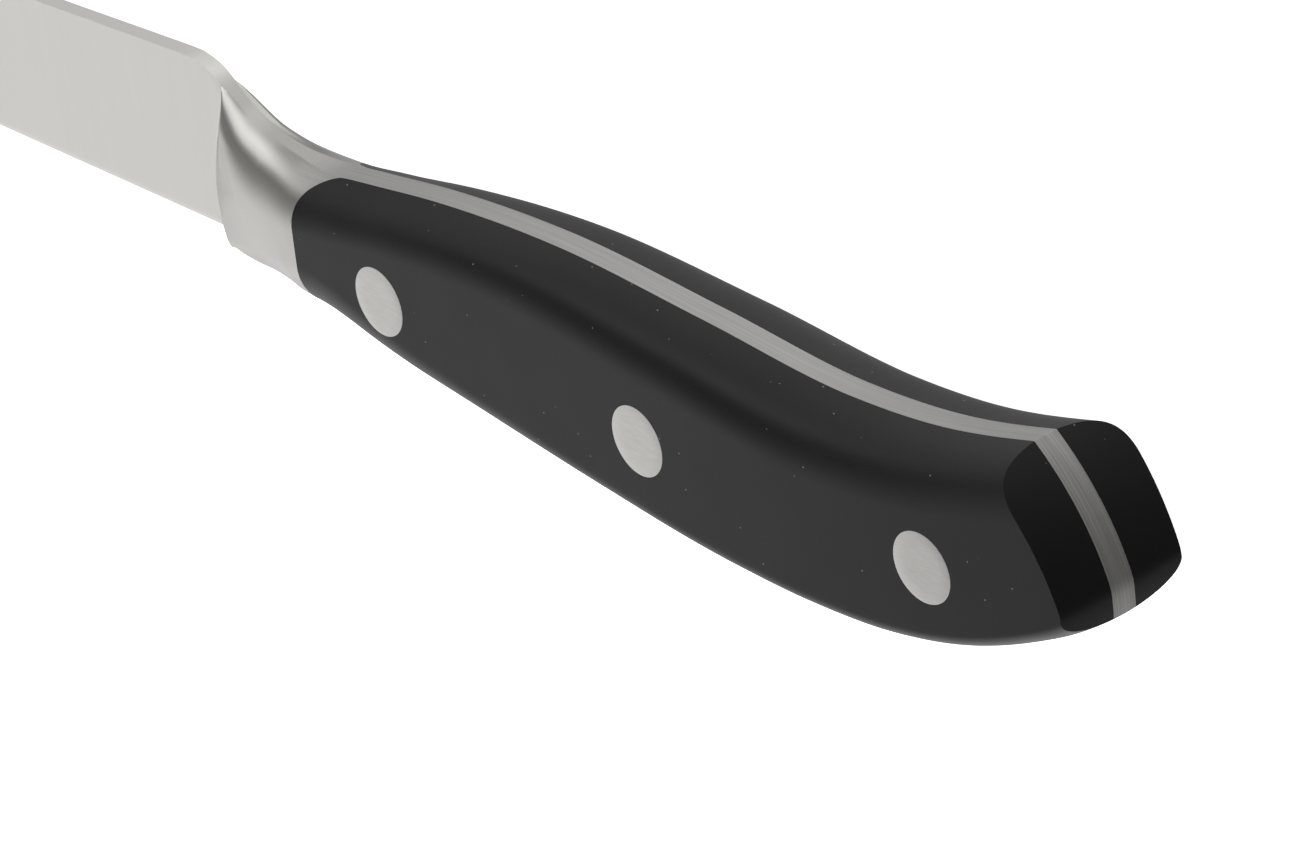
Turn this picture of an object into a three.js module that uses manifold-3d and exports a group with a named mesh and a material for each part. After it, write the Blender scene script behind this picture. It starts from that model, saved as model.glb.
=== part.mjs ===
// Paring knife: a forged blade with half bolster and full tang, two scales and three two-part rivets.
// Millimetres. Every piece is shaped in the knife's own frame: X = 0 where the scales start and X grows
// towards the butt, Y = 0 on the cutting edge and Y grows towards the spine, Z = 0 in the blade's middle
// plane and Z grows towards the left side. The finished knife is then laid on its right side, +Z up.
import * as THREE from 'three';
import { mergeVertices } from 'three/addons/utils/BufferGeometryUtils.js';
import Module from 'manifold-3d';

// Blade
const BLADE_LENGTH = 90;
const BLADE_HEIGHT = 16.7;
const SPINE_THICKNESS = 1.56;
const SPINE_ROUNDING = 0.3;
const SPINE_SLOPE = 0.05;
const STRAIGHT_SPINE = 40;
const STRAIGHT_EDGE = 50;
const POINT_RISE = 3.6;
const POINT_BLUNTING = 0.4;
const EDGE_THICKNESS = 0.3;
const BEVEL_HEIGHT = 0.6;

// Bolster
const BOLSTER_LENGTH = 16.75;
const CHIN_DEPTH = 1.5;
const CHIN_THICKNESS = 1.7;
const CHIN_RUN = 1.6;
const SHOULDER_RADIUS = 3.7;

// Handle
const HANDLE_LENGTH = 95.7;
const TANG_THICKNESS = 2.4;
const FRONT_WIDTH = 10;
const FLAT_LENGTH = 45;
const FLAT_END_WIDTH = 13.4;
const BUTT_WIDTH = 13.1;
const FRONT_BACK_HEIGHT = 11.1;
const HUMP_HEIGHT = 13.75;
const WAIST_HEIGHT = 11.6;
const BUTT_HEIGHT = 15;
const FRONT_BELLY_DEPTH = 0.3;
const BELLY_DEPTH = 7.05;
const BELLY_ROUNDING = 3.4;
const CROWN_DEPTH = 4.6;
const HUMP_CROWN_DEPTH = 3.9;
const BUTT_RADIUS = 23.3;
const BUTT_CENTRE_DEPTH = 3.2;
const BUTT_CROWN_RADIUS = 70;

// Rivets
const RIVET_HEAD_DIAMETER = 6.4;
const RIVET_HEAD_DEPTH = 2;
const RIVET_TUBE_DIAMETER = 4.2;
const RIVET_BORE_DIAMETER = 3;
const FRONT_RIVET_INSET = 11.5;
const REAR_RIVET_INSET = 16.4;
const FRONT_RIVET_HEIGHT = 4;
const MIDDLE_RIVET_HEIGHT = 2.8;
const REAR_RIVET_HEIGHT = 3.3;

// Clearance between neighbouring pieces
const FIT_GAP = 0.3;

// Fineness of the faceted surfaces
const BLADE_STATIONS = 18;
const BOLSTER_STATIONS = 14;
const HANDLE_STATIONS = 34;
const CROWN_STEPS = 8;
const UNDER_STEPS = 6;
const ROUND_SEGMENTS = 40;
const ARC_SEGMENTS = 12;

const HEEL = -BOLSTER_LENGTH;
const POINT = HEEL - BLADE_LENGTH;
const OVERRUN = 0.03 * HANDLE_LENGTH;
const REACH = BLADE_LENGTH + BOLSTER_LENGTH + HANDLE_LENGTH;

const { lerp, smoothstep, clamp, degToRad } = THREE.MathUtils;
const wasm = await Module();
wasm.setup();

// Smooth line through [x, y] points: cubic pieces whose slopes come from the neighbouring chords.
function smoothLine(points) {
  const last = points.length - 1;
  const run = (i) => points[i + 1][0] - points[i][0];
  const chord = (i) => (points[i + 1][1] - points[i][1]) / run(i);
  const inner = (i) => (chord(i) * run(i - 1) + chord(i - 1) * run(i)) / (run(i - 1) + run(i));
  const slopes = points.map((_, i) => (i === 0 ? chord(0) : i === last ? chord(last - 1) : inner(i)));
  return (x) => {
    const i = Math.max(0, points.findLastIndex((point, k) => k < last && point[0] <= x));
    const t = clamp((x - points[i][0]) / run(i), 0, 1);
    const start = (2 * t + 1) * (1 - t) ** 2 * points[i][1] + t * (1 - t) ** 2 * run(i) * slopes[i];
    const end = t * t * (3 - 2 * t) * points[i + 1][1] + t * t * (t - 1) * run(i) * slopes[i + 1];
    return start + end;
  };
}

// Places along the bolster, as a share of its length behind the heel, and along the handle.
const bolster = (share) => HEEL + share * BOLSTER_LENGTH;
const handle = (share) => share * HANDLE_LENGTH;

// Back of the bolster and handle: down from the spine, over the hump, through the waist, up to the butt.
const backLine = smoothLine([
  [bolster(0), BLADE_HEIGHT],
  [bolster(0.14), lerp(BLADE_HEIGHT, FRONT_BACK_HEIGHT, 0.13)],
  [bolster(0.42), lerp(BLADE_HEIGHT, FRONT_BACK_HEIGHT, 0.65)],
  [bolster(0.72), lerp(BLADE_HEIGHT, FRONT_BACK_HEIGHT, 0.98)],
  [handle(0), FRONT_BACK_HEIGHT],
  [handle(0.065), lerp(FRONT_BACK_HEIGHT, HUMP_HEIGHT, 0.26)],
  [handle(0.15), lerp(FRONT_BACK_HEIGHT, HUMP_HEIGHT, 0.66)],
  [handle(0.32), HUMP_HEIGHT],
  [handle(0.51), lerp(HUMP_HEIGHT, WAIST_HEIGHT, 0.47)],
  [handle(0.69), WAIST_HEIGHT],
  [handle(0.8), lerp(WAIST_HEIGHT, BUTT_HEIGHT, 0.24)],
  [handle(0.92), BUTT_HEIGHT],
  [handle(1.03), lerp(WAIST_HEIGHT, BUTT_HEIGHT, 1.97)],
]);

// Underside: chin below the heel, hollow at the scales' front, belly and rounded butt corner.
const bellyLine = smoothLine([
  [bolster(0), 0],
  [bolster(0) + 0.5 * CHIN_RUN, -0.75 * CHIN_DEPTH],
  [bolster(0) + 1.4 * CHIN_RUN, -CHIN_DEPTH],
  [bolster(0.62), -lerp(CHIN_DEPTH, FRONT_BELLY_DEPTH, 0.78)],
  [handle(0), -FRONT_BELLY_DEPTH],
  [handle(0.1), -lerp(FRONT_BELLY_DEPTH, BELLY_DEPTH, 0.285)],
  [handle(0.24), -lerp(FRONT_BELLY_DEPTH, BELLY_DEPTH, 0.58)],
  [handle(0.4), -lerp(FRONT_BELLY_DEPTH, BELLY_DEPTH, 0.825)],
  [handle(0.58), -BELLY_DEPTH],
  [handle(0.68), -1.01 * BELLY_DEPTH],
  [handle(0.78), -0.87 * BELLY_DEPTH],
  [handle(0.87), -0.57 * BELLY_DEPTH],
  [handle(0.94), -0.165 * BELLY_DEPTH],
  [handle(0.975), 0.09 * BELLY_DEPTH],
  [handle(0.995), 0.28 * BELLY_DEPTH],
  [handle(1.03), 0.72 * BELLY_DEPTH],
]);

// How far below the back the straight side begins.
const crownLine = smoothLine([
  [bolster(0), SPINE_ROUNDING],
  [bolster(0.12), 0.48 * CROWN_DEPTH],
  [bolster(0.33), 0.91 * CROWN_DEPTH],
  [bolster(0.5), 1.03 * CROWN_DEPTH],
  [handle(0), 0.93 * CROWN_DEPTH],
  [handle(0.2), HUMP_CROWN_DEPTH],
  [handle(0.44), lerp(HUMP_CROWN_DEPTH, CROWN_DEPTH, 0.5)],
  [handle(0.7), CROWN_DEPTH],
  [handle(0.9), 0.98 * CROWN_DEPTH],
  [handle(1.03), 0.85 * CROWN_DEPTH],
]);

// Height of the rounding between side and underside.
const underLine = smoothLine([
  [bolster(0), BEVEL_HEIGHT],
  [bolster(0.2), 0.37 * BELLY_ROUNDING],
  [handle(0), 0.68 * BELLY_ROUNDING],
  [handle(0.16), 0.92 * BELLY_ROUNDING],
  [handle(0.36), BELLY_ROUNDING],
  [handle(0.7), 0.85 * BELLY_ROUNDING],
  [handle(1.03), 0.6 * BELLY_ROUNDING],
]);

// Slope in degrees of the crown where it leaves the flat top.
const roofLine = smoothLine([
  [bolster(0), 0],
  [bolster(0.5), 14],
  [handle(0), 28],
  [handle(0.05), 28],
  [handle(0.125), 21],
  [handle(0.25), 11.5],
  [handle(0.5), 5],
  [handle(0.75), 7],
  [handle(1.03), 4],
]);

// Share of the crown's width over which it keeps that slope.
const curlLine = smoothLine([
  [bolster(0), 0.6],
  [bolster(0.5), 0.5],
  [handle(0), 0.5],
  [handle(0.1), 0.55],
  [handle(0.25), 0.72],
  [handle(0.5), 0.75],
  [handle(0.8), 0.75],
  [handle(1.03), 0.7],
]);
const SIDE_CURL = 0.35;

// Half thickness of the flat-ground blade at a height above the edge.
function flank(y) {
  const rise = (y - BEVEL_HEIGHT) / (BLADE_HEIGHT - SPINE_ROUNDING - BEVEL_HEIGHT);
  return lerp(EDGE_THICKNESS, SPINE_THICKNESS, rise) / 2;
}

// Half width of the handle: a flat that widens evenly, then a side that curves back in towards the butt.
const SIDE_TAPER = (FLAT_END_WIDTH - FRONT_WIDTH) / (2 * FLAT_LENGTH);
const widthAtButt = FRONT_WIDTH / 2 + SIDE_TAPER * HANDLE_LENGTH;
const sideRelief = (widthAtButt - BUTT_WIDTH / 2) / (HANDLE_LENGTH - FLAT_LENGTH) ** 2;
const sideAt = (x) => FRONT_WIDTH / 2 + SIDE_TAPER * x - sideRelief * Math.max(0, x - FLAT_LENGTH) ** 2;

// Spine and edge run straight from the heel, then curve to meet near the point.
function bladeSection(x) {
  const ahead = HEEL - x;
  const spineBend = Math.max(0, (ahead - STRAIGHT_SPINE) / (BLADE_LENGTH - STRAIGHT_SPINE));
  const edgeBend = Math.max(0, (ahead - STRAIGHT_EDGE) / (BLADE_LENGTH - STRAIGHT_EDGE));
  const spineFall = BLADE_HEIGHT - SPINE_SLOPE * BLADE_LENGTH - POINT_RISE;
  const top = BLADE_HEIGHT - SPINE_SLOPE * ahead - spineFall * spineBend ** 2.6;
  const bottom = POINT_RISE * edgeBend ** 2.2;
  const crown = Math.min(SPINE_ROUNDING, 0.3 * (top - bottom));
  const under = Math.min(BEVEL_HEIGHT, 0.35 * (top - bottom));
  const half = flank(top - crown);
  const lowHalf = flank(bottom + under);
  return { top, bottom, crown, under, half, lowHalf, flat: 0.68 * half, roof: 0, curl: 0.7 };
}

// The bolster swells from the blade's heel and runs out at the slope of the handle's side.
function gripSection(x) {
  const along = clamp((x - HEEL) / BOLSTER_LENGTH, 0, 1);
  const swell = smoothstep(x, HEEL, 0);
  const easeOut = SIDE_TAPER * BOLSTER_LENGTH * (along ** 3 - along ** 2);
  const chin = lerp(EDGE_THICKNESS, CHIN_THICKNESS, smoothstep(x, HEEL, HEEL + CHIN_RUN)) / 2;
  const side = sideAt(Math.max(x, 0));
  return {
    top: backLine(x),
    bottom: bellyLine(x),
    crown: crownLine(x),
    under: underLine(x),
    half: lerp(SPINE_THICKNESS / 2, side, swell) + easeOut,
    lowHalf: lerp(chin, side, swell) + easeOut,
    flat: lerp(0.34 * SPINE_THICKNESS, TANG_THICKNESS / 2, swell),
    roof: degToRad(roofLine(x)),
    curl: curlLine(x),
  };
}

// Closed outline of the cross-section at x: flat top, curved crown, straight side, rounded underside.
function ringAt(x) {
  const section = x < HEEL ? bladeSection(x) : gripSection(x);
  const { top, bottom, crown, under, half, lowHalf, flat, roof, curl } = section;
  const reach = curl * (half - flat);
  const crownCurve = new THREE.CubicBezierCurve(
    new THREE.Vector2(flat, top),
    new THREE.Vector2(flat + reach * Math.cos(roof), top - reach * Math.sin(roof)),
    new THREE.Vector2(half, top - SIDE_CURL * crown),
    new THREE.Vector2(half, top - crown),
  );
  const underCurve = new THREE.EllipseCurve(0, bottom + under, lowHalf, under, 0, -Math.PI / 2, true);
  const left = [...crownCurve.getPoints(CROWN_STEPS), ...underCurve.getPoints(UNDER_STEPS)];
  const right = left.slice(0, -1).reverse();
  const points = left.map((p) => new THREE.Vector3(x, p.y, p.x));
  return [...points, ...right.map((p) => new THREE.Vector3(x, p.y, -p.x))];
}

// Solid skin over a row of rings, closed at both ends.
function loft(rings) {
  const count = rings[0].length;
  const positions = rings.flat().flatMap((p) => p.toArray());
  const index = [];
  for (let i = 0; i < rings.length - 1; i += 1) {
    for (let j = 0; j < count; j += 1) {
      const a = i * count + j;
      const b = i * count + ((j + 1) % count);
      index.push(a, b, a + count, b, b + count, a + count);
    }
  }
  const lastRing = (rings.length - 1) * count;
  for (let j = 1; j < count - 1; j += 1) {
    index.push(0, j + 1, j);
    index.push(lastRing, lastRing + j, lastRing + j + 1);
  }
  const geometry = new THREE.BufferGeometry();
  geometry.setAttribute('position', new THREE.Float32BufferAttribute(positions, 3));
  geometry.setIndex(index);
  return geometry;
}

// Closed three.js geometry to a solid that can be cut and joined, and back.
function toSolid(geometry) {
  const bare = geometry.clone();
  bare.deleteAttribute('normal');
  bare.deleteAttribute('uv');
  const merged = mergeVertices(bare, 1e-5);
  const vertProperties = new Float32Array(merged.attributes.position.array);
  const triVerts = new Uint32Array(merged.index.array);
  return new wasm.Manifold(new wasm.Mesh({ numProp: 3, vertProperties, triVerts }));
}

function toGeometry(solid) {
  const { vertProperties, triVerts } = solid.getMesh();
  const geometry = new THREE.BufferGeometry();
  geometry.setAttribute('position', new THREE.BufferAttribute(vertProperties, 3));
  geometry.setIndex(new THREE.BufferAttribute(triVerts, 1));
  geometry.computeVertexNormals();
  return geometry;
}

// Evenly spaced values, both ends included.
function spread(from, to, count) {
  return Array.from({ length: count }, (_, i) => lerp(from, to, i / (count - 1)));
}

// Everything ahead of the butt: a round end seen from the side, slightly crowned from left to right.
function buttCut() {
  const from = degToRad(-60);
  const to = degToRad(80);
  const centre = HANDLE_LENGTH - BUTT_RADIUS;
  const arc = new THREE.EllipseCurve(centre, -BUTT_CENTRE_DEPTH, BUTT_RADIUS, BUTT_RADIUS, from, to);
  const front = [new THREE.Vector2(-REACH, REACH), new THREE.Vector2(-REACH, -REACH)];
  const outline = [...front, ...arc.getPoints(4 * ARC_SEGMENTS)];
  const slices = spread(-BUTT_WIDTH, BUTT_WIDTH, ARC_SEGMENTS + 1);
  const setBack = (z) => z * z / (2 * BUTT_CROWN_RADIUS);
  const slice = (z) => outline.map((p) => new THREE.Vector3(p.x - setBack(z), p.y, z));
  return loft(slices.map(slice));
}

// Outer form of the whole knife, its butt cut round.
function knifeForm() {
  const stations = [
    ...spread(POINT + POINT_BLUNTING, HEEL - 0.01, BLADE_STATIONS),
    ...spread(HEEL, 0, BOLSTER_STATIONS).slice(0, -1),
    ...spread(0, handle(0.92), HANDLE_STATIONS).slice(0, -1),
    ...spread(handle(0.92), HANDLE_LENGTH + OVERRUN, ARC_SEGMENTS),
  ];
  return toSolid(loft(stations.map(ringAt))).intersect(toSolid(buttCut()));
}

// Plan outline stood up into a block that runs through the whole height of the knife.
function standing(outline) {
  const block = new THREE.ExtrudeGeometry(outline, {
    depth: 2 * REACH,
    bevelEnabled: false,
    curveSegments: ARC_SEGMENTS,
  });
  block.rotateX(Math.PI / 2);
  block.translate(0, REACH, 0);
  return toSolid(block);
}

// Forging seen from above: blade and bolster at full width, then the tang behind two rounded shoulders.
function forgingPlan() {
  const tang = TANG_THICKNESS / 2;
  const plan = new THREE.Shape();
  plan.moveTo(-REACH, -REACH);
  plan.lineTo(0, -REACH);
  plan.absarc(SHOULDER_RADIUS, -tang - SHOULDER_RADIUS, SHOULDER_RADIUS, Math.PI, Math.PI / 2, true);
  plan.lineTo(REACH, -tang);
  plan.lineTo(REACH, tang);
  plan.absarc(SHOULDER_RADIUS, tang + SHOULDER_RADIUS, SHOULDER_RADIUS, -Math.PI / 2, -Math.PI, true);
  plan.lineTo(0, REACH);
  plan.lineTo(-REACH, REACH);
  return standing(plan);
}

// Left scale seen from above, clear of the tang and of the bolster's shoulder.
function scalePlan() {
  const tang = TANG_THICKNESS / 2;
  const plan = new THREE.Shape();
  plan.moveTo(REACH, REACH);
  plan.lineTo(FIT_GAP, REACH);
  const noseRadius = SHOULDER_RADIUS - FIT_GAP;
  plan.absarc(SHOULDER_RADIUS, tang + SHOULDER_RADIUS, noseRadius, Math.PI, 1.5 * Math.PI, false);
  plan.lineTo(REACH, tang + FIT_GAP);
  return standing(plan);
}

// Round piece about the Z axis from [radius, height] points, moved to a rivet's place.
function turned(profile, rivet) {
  const points = profile.map(([radius, height]) => new THREE.Vector2(radius, height));
  const geometry = new THREE.LatheGeometry(points, ROUND_SEGMENTS);
  geometry.rotateX(Math.PI / 2);
  geometry.translate(rivet.x, rivet.y, 0);
  return toSolid(geometry);
}

// Hole for one rivet through tang and scales, with a seat for a head on each side.
function rivetHole(rivet) {
  const head = RIVET_HEAD_DIAMETER / 2 + FIT_GAP;
  const tube = RIVET_TUBE_DIAMETER / 2 + FIT_GAP;
  const seat = rivet.seat - FIT_GAP;
  return turned([
    [0, -REACH], [head, -REACH], [head, -seat], [tube, -seat],
    [tube, seat], [head, seat], [head, REACH], [0, REACH],
  ], rivet);
}

// Left half of a rivet: a head on a tube. Right half: a head on a pin that enters the tube.
function rivetSocket(rivet) {
  const head = RIVET_HEAD_DIAMETER / 2;
  const tube = RIVET_TUBE_DIAMETER / 2;
  const bore = RIVET_BORE_DIAMETER / 2;
  const mouth = FIT_GAP - rivet.seat;
  return turned([
    [0, rivet.seat], [bore, rivet.seat], [bore, mouth], [tube, mouth],
    [tube, rivet.seat], [head, rivet.seat], [head, REACH], [0, REACH],
  ], rivet);
}

function rivetPin(rivet) {
  const head = RIVET_HEAD_DIAMETER / 2;
  const pin = RIVET_BORE_DIAMETER / 2 - FIT_GAP;
  return turned([
    [0, -REACH], [head, -REACH], [head, -rivet.seat], [pin, -rivet.seat],
    [pin, rivet.seat - FIT_GAP], [0, rivet.seat - FIT_GAP],
  ], rivet);
}

// Places of the three rivets; a head's underside sits a head's depth below the handle's side.
const rearRivet = HANDLE_LENGTH - REAR_RIVET_INSET;
const rivets = [
  { name: 'front', x: FRONT_RIVET_INSET, y: FRONT_RIVET_HEIGHT },
  { name: 'middle', x: (FRONT_RIVET_INSET + rearRivet) / 2, y: MIDDLE_RIVET_HEIGHT },
  { name: 'rear', x: rearRivet, y: REAR_RIVET_HEIGHT },
].map((rivet) => ({ ...rivet, seat: sideAt(rivet.x) - RIVET_HEAD_DEPTH }));

const steel = new THREE.MeshStandardMaterial({ color: '#c8c6c2', roughness: 0.35, metalness: 1 });
const rivetSteel = new THREE.MeshStandardMaterial({ color: '#bdbbb8', roughness: 0.4, metalness: 1 });
const blackPlastic = new THREE.MeshStandardMaterial({ color: '#1e1f1f', roughness: 0.45, metalness: 0 });

const knife = new THREE.Group();

function addPiece(name, solid, material) {
  const mesh = new THREE.Mesh(toGeometry(solid), material);
  mesh.name = name;
  knife.add(mesh);
}

const form = knifeForm();
const holes = rivets.map(rivetHole);
const drill = (solid) => holes.reduce((drilled, hole) => drilled.subtract(hole), solid);
const scaleBlock = scalePlan();

addPiece('forged_blade', drill(form.intersect(forgingPlan())), steel);
addPiece('left_scale', drill(form.intersect(scaleBlock)), blackPlastic);
addPiece('right_scale', drill(form.intersect(scaleBlock.mirror([0, 0, 1]))), blackPlastic);
for (const rivet of rivets) {
  addPiece(`${rivet.name}_rivet_socket`, rivetSocket(rivet).intersect(form), rivetSteel);
  addPiece(`${rivet.name}_rivet_pin`, rivetPin(rivet).intersect(form), rivetSteel);
}

// Lay the knife on the flat of its right scale, centred over the origin.
knife.rotation.y = -Math.atan(SIDE_TAPER);
knife.updateMatrixWorld(true);
const box = new THREE.Box3().setFromObject(knife, true);
const middle = box.getCenter(new THREE.Vector3());
knife.position.set(-middle.x, -middle.y, -box.min.z);

export default knife;
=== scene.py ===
"""Paring knife lying on the flat of its right scale: the finished surfaces, materials, light and camera.

Shapes are worked out in millimetres in the knife's own frame: x = 0 where the scales start, growing towards
the butt; y = 0 on the cutting edge, growing towards the spine; z = 0 in the blade's middle plane, growing
towards the left side.
"""

import math

import bpy
import numpy as np
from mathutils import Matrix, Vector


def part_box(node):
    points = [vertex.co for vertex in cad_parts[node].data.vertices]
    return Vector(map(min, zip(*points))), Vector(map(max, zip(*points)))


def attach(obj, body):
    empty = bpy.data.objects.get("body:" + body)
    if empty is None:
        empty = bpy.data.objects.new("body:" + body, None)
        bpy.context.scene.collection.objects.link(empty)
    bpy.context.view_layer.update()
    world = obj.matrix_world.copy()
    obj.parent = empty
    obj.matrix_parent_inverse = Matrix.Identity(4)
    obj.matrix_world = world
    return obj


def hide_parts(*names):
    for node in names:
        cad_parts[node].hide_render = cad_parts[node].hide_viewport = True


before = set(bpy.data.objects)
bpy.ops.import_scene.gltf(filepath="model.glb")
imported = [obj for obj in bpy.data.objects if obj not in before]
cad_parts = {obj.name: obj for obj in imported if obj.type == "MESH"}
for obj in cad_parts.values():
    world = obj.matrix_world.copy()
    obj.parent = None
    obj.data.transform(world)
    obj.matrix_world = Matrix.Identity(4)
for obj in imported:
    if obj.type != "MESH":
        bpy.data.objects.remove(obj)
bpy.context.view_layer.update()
scene = bpy.context.scene

METRE = 1000.0  # in millimetres

# Blade, in millimetres, with the slope and the bending powers of its lines
BLADE_LENGTH, BLADE_HEIGHT = 90.0, 16.7
SPINE_THICKNESS, SPINE_ROUNDING, SPINE_CORNER = 1.56, 0.3, 0.3
EDGE_THICKNESS, BEVEL_HEIGHT = 0.3, 0.6
STRAIGHT_SPINE, STRAIGHT_EDGE = 40.0, 50.0
POINT_RISE, POINT_BLUNTING = 3.6, 0.4
SPINE_SLOPE, SPINE_POWER, EDGE_POWER = 0.05, 2.6, 2.2
BEVEL_SHARE, CROWN_SHARE = 0.35, 0.3  # the most that bevel and crown take of the height towards the point

# Bolster, in millimetres, with the slopes and powers of its grind
BOLSTER_LENGTH, CHIN_DEPTH, CHIN_RUN, SHOULDER_RADIUS = 16.75, 1.75, 1.2, 3.8
GRIND_LEAN = 3.75  # how far behind the heel the blade's flat grind ends at the spine
GRIND_FLARE, GRIND_LOW_FLARE, GRIND_CURVE = 0.8, 0.3, 0.12  # slope behind it, up and low, and growth per mm
ROUND_CORNER, CRISP_CORNER = 4, 14  # powers that round the corner between the flare and the bolster
SIDE_BEND = 1.5  # power of the depth by which the bolster's sides draw in
MOST_TURN = 0.4  # limit on how far the sides' lean is carried into the underside
TOP_TOLERANCE = 0.01  # a point this close to the top's height counts as on it

# Handle, in millimetres
HANDLE_LENGTH, TANG_THICKNESS = 95.7, 2.4
FRONT_WIDTH, FLAT_LENGTH, FLAT_END_WIDTH, BUTT_WIDTH = 10.0, 45.0, 13.4, 13.1
FRONT_BACK_HEIGHT, HUMP_HEIGHT, WAIST_HEIGHT, BUTT_HEIGHT = 11.1, 13.75, 11.6, 15.0
FRONT_BELLY_DEPTH, BELLY_DEPTH, BELLY_ROUNDING = 1.6, 7.05, 3.4
CROWN_DEPTH, HUMP_CROWN_DEPTH = 4.6, 3.9
CROWN_PULL = 0.35  # share of the crown's depth at which its curve turns down the side
BUTT_RADIUS, BUTT_CENTRE_DEPTH, BUTT_CROWN_RADIUS = 23.3, 3.2, 130.0
TUCK_HEIGHT, TUCK_DEPTH, TUCK_BEND, TUCK_RADIUS = 4.6, 3.3, 1.0, 3.8
SEAM = 0.02  # hairline between scale and steel

# Rivets, in millimetres
RIVET_HEAD_DIAMETER, HEAD_DEPTH, HEAD_PROUD, RIM_ROUNDING = 6.4, 2.0, 0.012, 0.08
TUBE_RADIUS, PIN_RADIUS, RIVET_DEPTH = 2.1, 1.2, 4.2
FRONT_RIVET_INSET, REAR_RIVET_INSET = 11.5, 16.4
RIVET_HEIGHTS = {"front": 4.0, "middle": 2.8, "rear": 3.3}

# Grid: points over half a strip, steps on its level top, rows down a side, and rings along each stretch
STRIP, TOP_STEPS, ROWS = 26, 6, 28
BLADE_RINGS, HEEL_RINGS, FLARE_RINGS, BOLSTER_RINGS = 56, 12, 84, 50
SHOULDER_RINGS, GRIP_RINGS, BUTT_RINGS, RIVET_STEPS = 40, 110, 32, 96
HEEL_STRETCH = 2.0  # closer rings start this far ahead of the heel
TO_BUTT = 72.0  # from here back the rings lean towards the butt's face
BUTT_CROWDING = 1.2  # power that draws those rings together at the butt
HALVINGS, REPEATS = 40, 30  # rounds of the two ways by which points are found
SHARP_EDGE = math.radians(35)  # faces that meet at more than this aren't shaded as one

HEEL = -BOLSTER_LENGTH
POINT = HEEL - BLADE_LENGTH
TANG = TANG_THICKNESS / 2
SIDE_TAPER = (FLAT_END_WIDTH - FRONT_WIDTH) / (2 * FLAT_LENGTH)
TILT = math.atan(SIDE_TAPER)


def mix(a, b, share):
    """Straight mix from a to b."""
    return a + (b - a) * share


def ease(x, start, end):
    """Share of the way from start to end, with level ends: 3t^2 - 2t^3."""
    t = np.clip((x - start) / (end - start), 0, 1)
    return t * t * (3 - 2 * t)


def cubic(t, a, b, c, d):
    """Cubic curve from a to d, drawn towards b and then c on its way."""
    return (1 - t) ** 3 * a + 3 * (1 - t) ** 2 * t * b + 3 * (1 - t) * t * t * c + t ** 3 * d


def smooth_line(points):
    """Smooth line through (x, y) points: cubic pieces whose slopes come from the neighbouring chords."""
    px, py = np.array(points, float).T
    slope = np.gradient(py, px)

    def at(x):
        i = np.clip(np.searchsorted(px, x, side="right") - 1, 0, len(px) - 2)
        run = px[i + 1] - px[i]
        t = np.clip((x - px[i]) / run, 0, 1)
        start = (2 * t + 1) * (1 - t) ** 2 * py[i] + t * (1 - t) ** 2 * run * slope[i]
        end = t * t * (3 - 2 * t) * py[i + 1] + t * t * (t - 1) * run * slope[i + 1]
        return start + end

    return at


def bolster(share):
    """Place along the bolster, as a share of its length behind the heel."""
    return HEEL + share * BOLSTER_LENGTH


def handle(share):
    """Place along the handle, as a share of its length behind the scales' front."""
    return share * HANDLE_LENGTH


# Height of the back, from the spine over the bolster and the hump to the butt
back_line = smooth_line([
    (bolster(-0.14), mix(BLADE_HEIGHT, FRONT_BACK_HEIGHT, -0.16)),
    (bolster(0), BLADE_HEIGHT),
    (bolster(0.14), mix(BLADE_HEIGHT, FRONT_BACK_HEIGHT, 0.14)),
    (bolster(0.28), mix(BLADE_HEIGHT, FRONT_BACK_HEIGHT, 0.425)),
    (bolster(0.42), mix(BLADE_HEIGHT, FRONT_BACK_HEIGHT, 0.7)),
    (bolster(0.6), mix(BLADE_HEIGHT, FRONT_BACK_HEIGHT, 0.885)),
    (bolster(0.8), mix(BLADE_HEIGHT, FRONT_BACK_HEIGHT, 0.98)),
    (handle(0), FRONT_BACK_HEIGHT),
    (handle(0.065), mix(FRONT_BACK_HEIGHT, HUMP_HEIGHT, 0.26)),
    (handle(0.15), mix(FRONT_BACK_HEIGHT, HUMP_HEIGHT, 0.66)),
    (handle(0.32), HUMP_HEIGHT),
    (handle(0.51), mix(HUMP_HEIGHT, WAIST_HEIGHT, 0.47)),
    (handle(0.69), WAIST_HEIGHT),
    (handle(0.8), mix(WAIST_HEIGHT, BUTT_HEIGHT, 0.24)),
    (handle(0.92), BUTT_HEIGHT),
    (handle(1.03), mix(WAIST_HEIGHT, BUTT_HEIGHT, 1.97)),
])

# Height of the underside, from the chin along the belly to the butt
belly_line = smooth_line([
    (bolster(0), 0),
    (bolster(0) + 0.5 * CHIN_RUN, -0.88 * CHIN_DEPTH),
    (bolster(0) + 1.4 * CHIN_RUN, -CHIN_DEPTH),
    (bolster(0.62), -0.99 * CHIN_DEPTH),
    (handle(0), -FRONT_BELLY_DEPTH),
    (handle(0.1), -mix(FRONT_BELLY_DEPTH, BELLY_DEPTH, 0.26)),
    (handle(0.24), -mix(FRONT_BELLY_DEPTH, BELLY_DEPTH, 0.5)),
    (handle(0.4), -mix(FRONT_BELLY_DEPTH, BELLY_DEPTH, 0.76)),
    (handle(0.58), -0.985 * BELLY_DEPTH),
    (handle(0.68), -0.99 * BELLY_DEPTH),
    (handle(0.78), -0.87 * BELLY_DEPTH),
    (handle(0.87), -0.57 * BELLY_DEPTH),
    (handle(0.94), -0.165 * BELLY_DEPTH),
    (handle(0.975), 0.09 * BELLY_DEPTH),
    (handle(0.995), 0.28 * BELLY_DEPTH),
    (handle(1.03), 0.72 * BELLY_DEPTH),
])

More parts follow.
